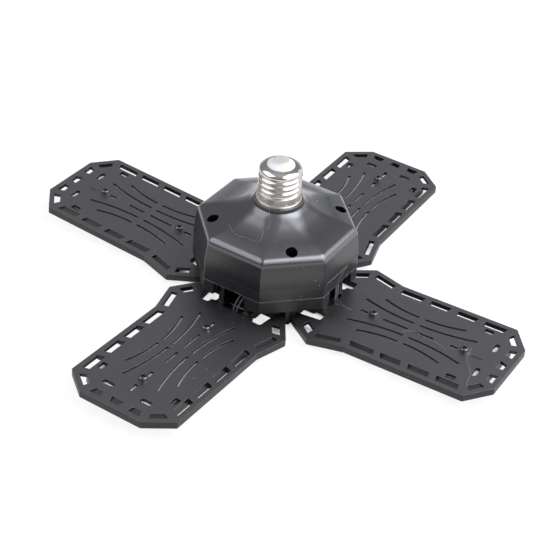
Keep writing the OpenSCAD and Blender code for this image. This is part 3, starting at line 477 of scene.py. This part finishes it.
def screw_cap():
    sides = 216
    rim = [(12.7, 64.42), (13.8, 64.42), (13.84, 64.6), (13.72, 64.9), (13.4, 65.1), (13.26, 65.3)]
    collar = [(13.2, 69.7), (13.04, 69.98), (12.78, 70.2), (12.45, 70.38)]
    lip = [(12.25, 82.28), (12.6, 82.5), (12.93, 82.76), (13.1, 83.05)]
    arc = [math.radians(86 * i / 18) for i in range(19)]
    dome = [(8.3 + 4.85 * math.cos(a), 83.35 + 3.5 * math.sin(a)) for a in arc] + [(8.2, 86.8), (7.7, 86.6)]
    rows = [(r, z, PLAIN) for r, z in rim]
    rows += [(SKIRT_R, 65.3 + 0.2 * i, PUNCHED) for i in range(1, 21)]
    rows += [(r, z, PLAIN) for r, z in collar]
    rows += [(ROOT_R, THREAD_LOW + THREAD_STEP * i, THREADED) for i in range(THREAD_ROWS)]
    rows += [(r, z, PLAIN) for r, z in lip + dome]
    verts = []
    for r, z, kind in rows:
        for a in circle(sides):
            if kind == THREADED:
                r = thread_r(a, z)
            elif kind == PUNCHED:
                r = punched_r(a, z)
            verts.append(Vector((r * math.cos(a), r * math.sin(a), z)) * MM)
    o = mesh_object("threaded_shell", verts, grid_faces(len(rows), sides), MATERIALS["shell"])
    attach(o, "hub")
    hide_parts("screw_shell")


# Upper housing: the CAD's octagon-to-round loft drawn finely, with its wells, bore and cavity.
# Rows up the outer face: share of the height, share of the way from the flat to the neck, corner rounding
HOUSE = [(0, 0, 0), (0.181, 0, 0), (0.559, 0.042, 0.01), (0.605, 0.049, 0.015), (0.65, 0.068, 0.02),
         (0.688, 0.101, 0.03), (0.713, 0.143, 0.04), (0.73, 0.202, 0.06), (0.766, 0.345, 0.12),
         (0.804, 0.534, 0.24), (0.854, 0.711, 0.4), (0.919, 0.88, 0.65), (0.96, 0.975, 0.82),
         (1, 1.045, 0.95)]
FLAT, PART_Z, HOUSE_H, NECK_R, SHELF, WALL = 47.5, 22.1, 39.7, 14.8, 2.0, 2.4
# The four wells' distance from the axis, and radii of boss, well, screw hole and the neck's bore
WELL_PLACE, BOSS_R, WELL_R, HOLE_R, BORE_R = 39.5, 6, 3.6, 1.7, 10.5
# Half of an octagon's side, as an angle
HALF = math.radians(22.5)


def house_profile(steps):
    """Flat's distance, corner radius and height up the outer face, as a smooth curve, with their slopes."""
    pts = []
    for h, inward, corner in HOUSE:
        a = FLAT - (FLAT - NECK_R - SHELF) * inward
        r = 1.6 if h == 0 else min(0.96 * a, 1.6 + a * corner)
        pts.append((a, r, PART_Z + HOUSE_H * h))
    t = [0.0]
    for p, q in zip(pts, pts[1:]):
        t.append(t[-1] + math.hypot(q[0] - p[0], q[2] - p[2]))
    n = len(pts)
    slopes = []
    for axis in range(3):
        d = [(pts[i + 1][axis] - pts[i][axis]) / (t[i + 1] - t[i]) for i in range(n - 1)]
        m = [d[0]]
        for i in range(1, n - 1):
            w1, w2 = 2 * (t[i + 1] - t[i]) + (t[i] - t[i - 1]), (t[i + 1] - t[i]) + 2 * (t[i] - t[i - 1])
            m.append(0 if d[i - 1] * d[i] <= 0 else (w1 + w2) / (w1 / d[i - 1] + w2 / d[i]))
        slopes.append(m + [d[-1]])
    out = []
    for i in range(n - 1):
        h = t[i + 1] - t[i]
        count = max(2, round(h / steps))
        for j in range(count + (i == n - 2)):
            s = j / count
            value, slope = [], []
            for axis in range(3):
                p, q, m, k = pts[i][axis], pts[i + 1][axis], slopes[axis][i], slopes[axis][i + 1]
                value.append((2 * s ** 3 - 3 * s * s + 1) * p + (s ** 3 - 2 * s * s + s) * h * m
                             + (3 * s * s - 2 * s ** 3) * q + (s ** 3 - s * s) * h * k)
                slope.append((6 * s * s - 6 * s) * (p - q) / h
                             + (3 * s * s - 4 * s + 1) * m + (3 * s * s - 2 * s) * k)
            out.append((value, slope))
    return out


def ring(a, r, z, arc):
    """Octagon with its flats at a and its corners rounded to r in arc steps."""
    out = (a - r) / math.cos(HALF)
    return [Vector((out * math.cos(HALF + k * 2 * HALF) + r * math.cos(2 * HALF * (k + i / arc)),
                    out * math.sin(HALF + k * 2 * HALF) + r * math.sin(2 * HALF * (k + i / arc)),
                    z)) for k in range(8) for i in range(arc + 1)]


def loft(name, rings):
    rows, cols = len(rings), len(rings[0])
    faces = grid_faces(rows, cols) + end_faces(rows, cols)
    return mesh_object(name, [v * MM for r in rings for v in r], faces, MATERIALS["housing"])


def rod(name, r, z0, z1, x=0.0, y=0.0, sides=48):
    return loft(name, [[Vector((x + r * math.cos(a), y + r * math.sin(a), z)) for a in circle(sides)]
                       for z in (z0, z1)])


def cut(target, tool, kind):
    """Boolean of two objects; the tool is used up."""
    m = target.modifiers.new("cut", "BOOLEAN")
    m.operation, m.solver, m.object = kind, "EXACT", tool
    graph = bpy.context.evaluated_depsgraph_get()
    mesh = bpy.data.meshes.new_from_object(target.evaluated_get(graph))
    target.modifiers.clear()
    old = target.data
    target.data = mesh
    bpy.data.meshes.remove(old)
    data = tool.data
    bpy.data.objects.remove(tool)
    bpy.data.meshes.remove(data)


def smooth_skin(mesh, skin_verts, skin_faces, normals):
    """Give the outer face the loft's own normals, which the boolean cuts would lose."""
    for p in mesh.polygons:
        p.use_smooth = True
    mesh.set_sharp_from_angle(angle=math.radians(32))
    tree = BVHTree.FromPolygons(skin_verts, skin_faces)
    loops = [Vector(n.vector) for n in mesh.corner_normals]
    for p in mesh.polygons:
        place, normal, index, distance = tree.find_nearest(Vector(p.center))
        if place is None or distance > 0.00012 or abs(normal.dot(p.normal)) < 0.9:
            continue
        for i in p.loop_indices:
            v = mesh.vertices[mesh.loops[i].vertex_index].co
            place, normal, index, distance = tree.find_nearest(v)
            if distance > 0.00005:
                continue
            corners = skin_faces[index]
            weights = poly_3d_calc([skin_verts[c] for c in corners], place)
            loops[i] = sum((normals[c] * w for c, w in zip(corners, weights)), Vector()).normalized()
    mesh.normals_split_custom_set(loops)


def housing():
    arc = 8
    profile = house_profile(1.2)
    rings, normals = [], []
    for (a, r, z), (da, dr, dz) in profile:
        rings.append(ring(a, r, z, arc))
        for k in range(8):
            for i in range(arc + 1):
                phi = math.radians(45 * (k + i / arc))
                centre = math.radians(22.5 + 45 * k)
                out = (da - dr) * math.cos(phi - centre) / math.cos(HALF) + dr
                normals.append(Vector((math.cos(phi) * dz, math.sin(phi) * dz, -out)).normalized())
    body = loft("housing_skin", rings)
    cavity_rings = []
    for (a, r, z), (da, dr, dz) in profile[::2]:
        n = Vector((-dz, da)).normalized() * WALL
        cavity_rings.append(ring(max(a + n.x, 4), max(r - WALL, 0.6), z + n.y, 4))
    low = [v - Vector((0, 0, 1)) for v in cavity_rings[0]]
    cavity = loft("cavity", [low] + cavity_rings[1:])
    corners = [math.radians(45 + 90 * k) for k in range(4)]
    wells = [(WELL_PLACE * math.cos(q), WELL_PLACE * math.sin(q)) for q in corners]
    for x, y in wells:
        cut(cavity, rod("boss", BOSS_R, PART_Z - 0.01, 62, x, y), "DIFFERENCE")
    cut(body, neck_ring(), "UNION")
    cut(body, cavity, "DIFFERENCE")
    for x, y in wells:
        cut(body, rod("well", WELL_R, PART_Z + 5, 62, x, y), "DIFFERENCE")
        cut(body, rod("hole", HOLE_R, PART_Z - 1, PART_Z + 6, x, y, 24), "DIFFERENCE")
    cut(body, rod("bore", BORE_R, 50, 71), "DIFFERENCE")
    skin_faces = grid_faces(len(rings), len(rings[0]))
    smooth_skin(body.data, [v * MM for r in rings for v in r], skin_faces, normals)
    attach(body, "hub")
    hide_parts("upper_housing")


def neck_ring():
    """Neck under the cap, with fine upright ribs, and the stub inside the cap."""
    sides, ribs, rib_h = 288, 48, 0.13
    rows = [(14.8, 60.8, 0), (14.8, 61.9, 0), (14.72, 62.15, rib_h), (14.72, 63.9, rib_h), (14.6, 64.25, 0),
            (14.35, 64.4, 0), (12.5, 64.4, 0), (12.5, 69.2, 0)]
    verts = []
    for r, z, rib in rows:
        for a in circle(sides):
            rr = r + rib * max(0, math.cos(a * ribs))
            verts.append(Vector((rr * math.cos(a), rr * math.sin(a), z)) * MM)
    faces = grid_faces(len(rows), sides) + end_faces(len(rows), sides)
    return mesh_object("neck", verts, faces, MATERIALS["housing"])


# Leaf screws with a cross recess.
# Start and length of the leaf's slotted field along the leaf, and the screws' shares of it
FIELD_U, FIELD = 50.4, 111.3
SCREW_SHARES = (0.192, 0.735)
HEAD_R = 2.5


def screw_parts(turn):
    """Pan head and shank, with the recess turned by an angle in radians."""
    sides, rings = 96, 30
    ca, sa = math.cos(turn), math.sin(turn)

    def height(x, y):
        r = math.hypot(x, y) / HEAD_R
        top = 2.85 - 0.1 * r * r - 4.2 * max(0, r - 0.66) ** 2
        u, v = x * ca + y * sa, y * ca - x * sa
        deep = 0
        for p, q in ((u, v), (v, u)):
            arm = min(1, max(0, (0.5 - abs(q)) / 0.16)) * min(1, max(0, (1.75 - abs(p)) / 0.4))
            deep = max(deep, arm)
        return top - 1.25 * deep

    verts = [Vector((0, 0, height(0, 0)))]
    for i in range(1, rings + 1):
        r = HEAD_R * i / rings
        verts += [Vector((r * math.cos(a), r * math.sin(a), height(r * math.cos(a), r * math.sin(a))))
                  for a in circle(sides)]
    for r, z in ((HEAD_R, 1.9), (HEAD_R, 0.42), (2.42, 0.3), (1.3, 0.3), (1.3, -5.4)):
        verts += [Vector((r * math.cos(a), r * math.sin(a), z)) for a in circle(sides)]
    faces = [(0, 1 + c, 1 + (c + 1) % sides) for c in range(sides)]
    faces += [tuple(i + 1 for i in f) for f in grid_faces(rings + 5, sides)]
    faces.append(tuple(1 + (rings + 4) * sides + c for c in range(sides)))
    return verts, faces


def leaf_screws():
    for k in TILTS:
        parts = []
        for share in SCREW_SHARES:
            verts, faces = screw_parts(random.uniform(0, 1.5))
            parts.append(([v + Vector((FIELD_U + FIELD * share, 0, 0)) for v in verts], faces))
        verts, faces = join(parts)
        m = leaf_matrix(k)
        o = mesh_object(f"leaf_{k}_cross_screws", [m @ v for v in verts], faces, MATERIALS["screw"])
        o.data.set_sharp_from_angle(angle=math.radians(50))
        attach(o, f"panel_{k}")
        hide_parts(f"panel_{k}_screws")


# Leaf shells with a thin slotted skin, the board right under it, and the cover's tabs a little sunk.
# How far the board rises into the skin, the ribs go down and the tabs sink
SKIN_THINNED, RIB_DROP, TAB_DROP = 0.6, 1.15, 1.5
# The board's sides that lie past the first half width are drawn in to the second
BOARD_WIDE, BOARD_HALF = 25.2, 24.2
# The side slots' hub ends: u at the outer and the inner edge of the field, v of both, and added length
SIDE_SLOTS = [(132.49, 130.95), (114.33, 112.78), (96.16, 94.62), (76.07, 74.52)]
SLOT_OUTER_V, SLOT_INNER_V, SLOT_REACH = 33.18, 28.72, 1.9
SCREW_SLOTS = [(FIELD_U + FIELD * a, FIELD_U + FIELD * b)
               for a, b in ((0.11, 0.155), (0.653, 0.698), (0.783, 0.842))]
SCREW_SLOT_HALF = 1.15
# Wing roots: v of the tip and of the inner shoulder, u and slant of their edge, and each one's move along
# the leaf and sideways
TIP_V, SHOULDER_V, TIP_U, ROOT_SLANT = 32.6, 22.3, 36, 0.243
TIP_MOVE, SHOULDER_MOVE = (4.4, -2.93), (6.8, 1.3)


def leaf_copy(node, name, key):
    o = bpy.data.objects.new(name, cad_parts[node].data.copy())
    o.data.materials.clear()
    o.data.materials.append(MATERIALS[key])
    bpy.context.scene.collection.objects.link(o)
    return o


def shift_flat(o, k, low, high, rise):
    """Move the vertices of a flat face, between two heights of the leaf's frame, along its normal."""
    m = leaf_matrix(k)
    back = m.inverted()
    for v in o.data.vertices:
        q = back @ v.co
        if low < q.z < high:
            v.co = m @ (q + Vector((0, 0, rise)))


def leaf_bodies():
    for k in TILTS:
        shell = leaf_copy(f"panel_{k}_shell", f"leaf_{k}_slotted_shell", "leaf")
        plate = leaf_copy(f"panel_{k}_led_board", f"leaf_{k}_board", "tan_board")
        shift_flat(plate, k, -2.3, -2.1, SKIN_THINNED)
        m = leaf_matrix(k)
        back = m.inverted()
        for v in plate.data.vertices:
            q = back @ v.co
            if abs(q.y) > BOARD_WIDE:
                v.co = m @ Vector((q.x, math.copysign(BOARD_HALF, q.y), q.z))
        shift_flat(shell, k, -5.5, -5.3, -RIB_DROP)
        reach_in(shell, k)
        pocket = plate.copy()
        pocket.data = plate.data.copy()
        bpy.context.scene.collection.objects.link(pocket)
        cut(shell, pocket, "DIFFERENCE")
        cut(shell, slot_tools(k), "DIFFERENCE")
        cover = leaf_copy(f"panel_{k}_cover", f"leaf_{k}_cover", "cover")
        shift_flat(cover, k, -0.9, 0.5, -TAB_DROP)
        for o, part in ((shell, "shell"), (plate, "led_board"), (cover, "cover")):
            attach(o, f"panel_{k}")
            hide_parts(f"panel_{k}_{part}")


def slot_tools(k):
    """Hub ends of the side slots, made longer, and the short slots by the screws, made wider."""
    m = leaf_matrix(k)
    parts = []
    for side in (1, -1):
        for outer, inner in SIDE_SLOTS:
            plan = [(outer + 1, SLOT_OUTER_V), (outer - SLOT_REACH, SLOT_OUTER_V),
                    (inner - SLOT_REACH, SLOT_INNER_V), (inner + 1, SLOT_INNER_V)]
            parts.append(prism([(u, v * side) for u, v in plan], -2.7, 0.3))
    h = SCREW_SLOT_HALF
    for a, b in SCREW_SLOTS:
        parts.append(prism([(a, -h), (b, -h), (b, h), (a, h)], -2.1, 0.3))
    verts, faces = join(parts)
    return mesh_object("slot_tools", [m @ v for v in verts], faces, MATERIALS["leaf"], smooth=False)


def prism(plan, low, high):
    """Upright prism on a plan of corners."""
    n = len(plan)
    verts = [Vector((u, v, z)) for z in (low, high) for u, v in plan]
    faces = [(i, (i + 1) % n, n + (i + 1) % n, n + i) for i in range(n)]
    return verts, faces + [tuple(range(n))[::-1], tuple(range(n, 2 * n))]


def reach_in(o, k):
    """Carry the roots of the two wings on towards the box."""
    m = leaf_matrix(k)
    back = m.inverted()
    for v in o.data.vertices:
        q = back @ v.co
        across = abs(q.y)
        edge = TIP_U + (TIP_V - across) * ROOT_SLANT
        if 20.9 < across < 34.8 and q.x < edge + 2.3:
            along = max(0.0, min(1.0, (across - SHOULDER_V) / (TIP_V - SHOULDER_V)))
            reach, spread = (b + (a - b) * along for a, b in zip(TIP_MOVE, SHOULDER_MOVE))
            q.x -= reach
            q.y += spread * (1 if q.y > 0 else -1)
            v.co = m @ q


def shade_plates_under_lead_windows():
    """Dark plate under the leads' window, between the leaf's two arms, put there as painted shade to hide
    the floor behind the window.
    """
    near, far, half = 38.7, 44.1, 7.02
    for k in TILTS:
        m = leaf_matrix(k)
        verts, faces = prism([(near, -half), (far, -half), (far, half), (near, half)], -4.25, -3.8)
        # Painted shade: a sheet of the leaf's black where there is only shade.
        o = mesh_object(f"leaf_{k}_lead_window_shade_plate", [m @ v for v in verts], faces, MATERIALS["leaf"],
                        smooth=False)
        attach(o, f"panel_{k}")


# Sills that close the tray's four openings below the leads
def gate_sills():
    near, half = 30.9, 12.4
    outline = [(near, -half), (37.4, -half), (38.2, -11.6), (38.2, 11.6), (37.4, half), (near, half)]
    # Height of each ring, and how far the chamfer draws it in
    rings = [(0.6, 0.35), (0.95, 0), (3.6, 0), (3.95, 0.35)]
    rows, cols = len(rings), len(outline)
    for k in TILTS:
        m = Matrix.Scale(MM, 4) @ spin(k)
        verts = [m @ Vector((u - (c if u > near else 0), v * (1 - c / half), z))
                 for z, c in rings for u, v in outline]
        faces = grid_faces(rows, cols) + end_faces(rows, cols)
        o = mesh_object(f"gate_sill_{k}", verts, faces, MATERIALS["tray"], smooth=False)
        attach(o, "hub")


# Leads from the box over the hinge into each leaf.
# Points of the route: distance from the axis, height, share of the way to the far side, share of the tilt
LEAD_R = 0.6
# Near and far side of each of the two leads
LEAD_SIDES = ((0.6, 5.2), (3.0, 7.8))
LEAD_ROUTE = [(21, 6.7, 1, 0), (21.6, 12, 1, 0), (25, 17.2, 1, 0), (31, 19.5, 1, 0), (38.5, 19.6, 0.9, 0.5),
              (42.2, 16.6, 0.65, 0.8), (43.9, 10.8, 0.25, 1), (44.2, 5.2, 0, 1), (46.4, 3.1, 0, 1),
              (56, 3.2, 0, 1)]


def leads():
    for k, tilt in TILTS.items():
        parts = []
        for low, high in LEAD_SIDES:
            path = []
            for u, z, off, share in LEAD_ROUTE:
                a = math.radians(tilt * share)
                x, y = u - HINGE_U, z - HINGE_Z
                path.append((HINGE_U + x * math.cos(a) - y * math.sin(a), low + (high - low) * off,
                             HINGE_Z + x * math.sin(a) + y * math.cos(a)))
            parts.append(tube(smooth_path(path, 7), LEAD_R, 14))
        verts, faces = join(parts)
        m = Matrix.Scale(MM, 4) @ spin(k)
        o = mesh_object(f"leaf_{k}_leads", [m @ v for v in verts], faces, MATERIALS["lead"])
        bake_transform(o)
        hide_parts(f"panel_{k}_leads")


# Lint that lies on the housing and on one leaf, as points in the part's frame at rest
LINT_R = 0.08
LINT = {
    "hub": [[(14.2, 2.2, 64.4), (15.9, 4.0, 62.0), (18.4, 6.3, 59.9), (20.9, 7.6, 58.3), (23.7, 8.5, 56.9),
             (22.5, 7.3, 57.6)],
            [(30.2, -14.7, 53.9), (32.7, -11.6, 53.7), (34.6, -8.1, 53.2), (35.0, -4.3, 53.1),
             (34.7, -1.3, 53.2), (34.0, 4.2, 53.4), (33.1, 8.6, 53.6), (28.9, 7.7, 54.9), (25.4, 6.7, 56.3)],
            [(-7.1, 47.56, 30.6), (2.8, 47.56, 30.6), (12.0, 47.57, 30.6), (18.0, 47.58, 30.7)],
            [(-7.1, 47.56, 30.6), (-2.3, 47.56, 28.3), (0.9, 47.57, 26.3), (3.9, 47.6, 24.0)]],
    "panel_2": [[(4.5, 93.8, 9.4), (1.7, 96.6, 9.5), (0.0, 100.3, 9.7), (1.3, 105.7, 9.9),
                 (2.0, 111.3, 10.2), (2.6, 117.0, 10.5), (5.4, 124.1, 10.8)],
                [(-5.0, 135.1, 11.3), (1.0, 135.7, 11.3), (6.5, 137.6, 11.4), (11.4, 141.5, 11.6),
                 (17.6, 145.2, 11.7), (24.2, 146.6, 11.8), (28.0, 148.3, 11.9)],
                [(-0.4, 45.9, 7.25), (0.6, 48.9, 7.35), (1.9, 52.4, 7.55), (2.9, 56.2, 7.7),
                 (3.1, 59.5, 7.85)],
                [(2.7, 46.6, 7.25), (3.0, 49.6, 7.4), (2.9, 53.4, 7.55), (2.4, 57.7, 7.75)]],
}


def lint():
    for body, strands in LINT.items():
        parts = [tube(smooth_path(s, 8), LINT_R, 6) for s in strands]
        verts, faces = join(parts)
        o = mesh_object(f"lint_on_{body}", [v * MM for v in verts], faces, MATERIALS["lint"])
        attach(o, body)


# Stage and light ----------------------------------------------------------
# Softboxes: azimuth, elevation, width and height in metres, power in watts
LAMP_DISTANCE, LAMP_TINT = 1.3, (0.965, 0.98, 1.05)
SOFTBOXES = [("right_softbox", 101, 40, 1.8, 1.3, 15.0), ("high_softbox", 108, 62, 1.1, 0.7, 5.0),
             ("side_softbox", 150, 22, 0.9, 0.8, 1.5), ("left_softbox", -52, 47, 1.2, 1.05, 5.6),
             ("back_softbox", 198, 11, 2.0, 0.6, 0.8)]
# Brightness of the room from straight down (0) to straight up (1)
ROOM = [(0.0, 0.28), (0.6, 0.272), (0.82, 0.285), (0.9, 0.365), (1.0, 0.53)]
ROOM_TINT = (0.96, 0.975, 1.07)
# Half side of the floor in metres, and its glow
FLOOR_HALF, FLOOR_GLOW = 6, 0.86


def make_stage():
    scene = bpy.context.scene
    scene.view_settings.view_transform = "Standard"
    h = FLOOR_HALF
    floor = mesh_object("floor", [(-h, -h, 0), (h, -h, 0), (h, h, 0), (-h, h, 0)], [(0, 1, 2, 3)],
                        floor_material(), smooth=False)
    make_room(scene)
    for name, azimuth, elevation, width, height, power in SOFTBOXES:
        area(name, toward(azimuth, elevation) * LAMP_DISTANCE, (width, height), power)


def make_room(scene):
    """Even light, brighter overhead; the camera sees a white backdrop in its place."""
    world = bpy.data.worlds.new("studio")
    world.use_nodes = True
    scene.world = world
    tree = world.node_tree
    tree.nodes.clear()
    out = tree.nodes.new("ShaderNodeOutputWorld")
    sky = tree.nodes.new("ShaderNodeBackground")
    sky.inputs[1].default_value = 1
    coords = tree.nodes.new("ShaderNodeTexCoord")
    split = tree.nodes.new("ShaderNodeSeparateXYZ")
    ramp = tree.nodes.new("ShaderNodeValToRGB")
    while len(ramp.color_ramp.elements) < len(ROOM):
        ramp.color_ramp.elements.new(0.5)
    for e, (p, v) in zip(ramp.color_ramp.elements, ROOM):
        e.position = p
        e.color = (*(v * c for c in ROOM_TINT), 1)
    half = tree.nodes.new("ShaderNodeMapRange")
    half.inputs[1].default_value = -1
    half.inputs[2].default_value = 1
    link = tree.links.new
    link(coords.outputs["Generated"], split.inputs[0])
    link(split.outputs["Z"], half.inputs[0])
    link(half.outputs[0], ramp.inputs[0])
    link(ramp.outputs[0], sky.inputs[0])
    backdrop = tree.nodes.new("ShaderNodeBackground")
    backdrop.inputs[0].default_value = (1, 1, 1, 1)
    backdrop.inputs[1].default_value = 1
    path = tree.nodes.new("ShaderNodeLightPath")
    either = tree.nodes.new("ShaderNodeMixShader")
    link(path.outputs["Is Camera Ray"], either.inputs[0])
    link(sky.outputs[0], either.inputs[1])
    link(backdrop.outputs[0], either.inputs[2])
    link(either.outputs[0], out.inputs[0])


def floor_material():
    """White to the camera and in reflections, except in nooks under the part, where ambient occlusion turns
    the glow off as painted shade; grey to the lamps.
    """
    m = Nodes("floor_white")
    m.tree.nodes.remove(m.shader)
    diffuse = m.add("ShaderNodeBsdfDiffuse")
    m.link(m.mix(m.spread(m.noise(3, 2)), (0.2, 0.2, 0.2), (0.19, 0.19, 0.19)), diffuse.inputs[0])
    glow = m.add("ShaderNodeEmission")
    glow.inputs[0].default_value = (1, 1, 1, 1)
    path = m.add("ShaderNodeLightPath")
    painted_shade_ao = m.add("ShaderNodeAmbientOcclusion", samples=12)
    painted_shade_ao.inputs["Distance"].default_value = 0.015
    openness = painted_shade_ao.outputs["AO"]
    # Painted shade: the glow fades where ambient occlusion finds the part close above the floor, for camera
    # rays and for reflections.
    direct = m.math("MULTIPLY", path.outputs["Is Camera Ray"], m.span(openness, 0.09, 0.18, 0, 1))
    mirrored = m.math("MULTIPLY", path.outputs["Is Glossy Ray"], m.span(openness, 0.25, 0.5, 0, 1))
    seen = m.math("MAXIMUM", m.math("MAXIMUM", direct, mirrored), path.outputs["Is Transmission Ray"])
    m.link(m.math("MULTIPLY", seen, FLOOR_GLOW), glow.inputs[1])
    both = m.add("ShaderNodeAddShader")
    m.link(diffuse.outputs[0], both.inputs[0])
    m.link(glow.outputs[0], both.inputs[1])
    m.link(both.outputs[0], m.out.inputs[0])
    return m.material


def area(name, place, size, power):
    """Rectangular lamp that faces the part."""
    data = bpy.data.lights.new(name, "AREA")
    data.shape = "RECTANGLE"
    data.size, data.size_y = size
    data.energy = power
    data.color = LAMP_TINT
    o = bpy.data.objects.new(name, data)
    bpy.context.scene.collection.objects.link(o)
    o.location = place
    o.rotation_mode = "QUATERNION"
    o.rotation_quaternion = (place - Vector((0, 0, 0.03))).to_track_quat("Z", "Y")


make_camera()
make_materials()
dress_all()
screw_cap()
housing()
leaf_bodies()
shade_plates_under_lead_windows()
leaf_screws()
gate_sills()
leads()
lint()
make_stage()
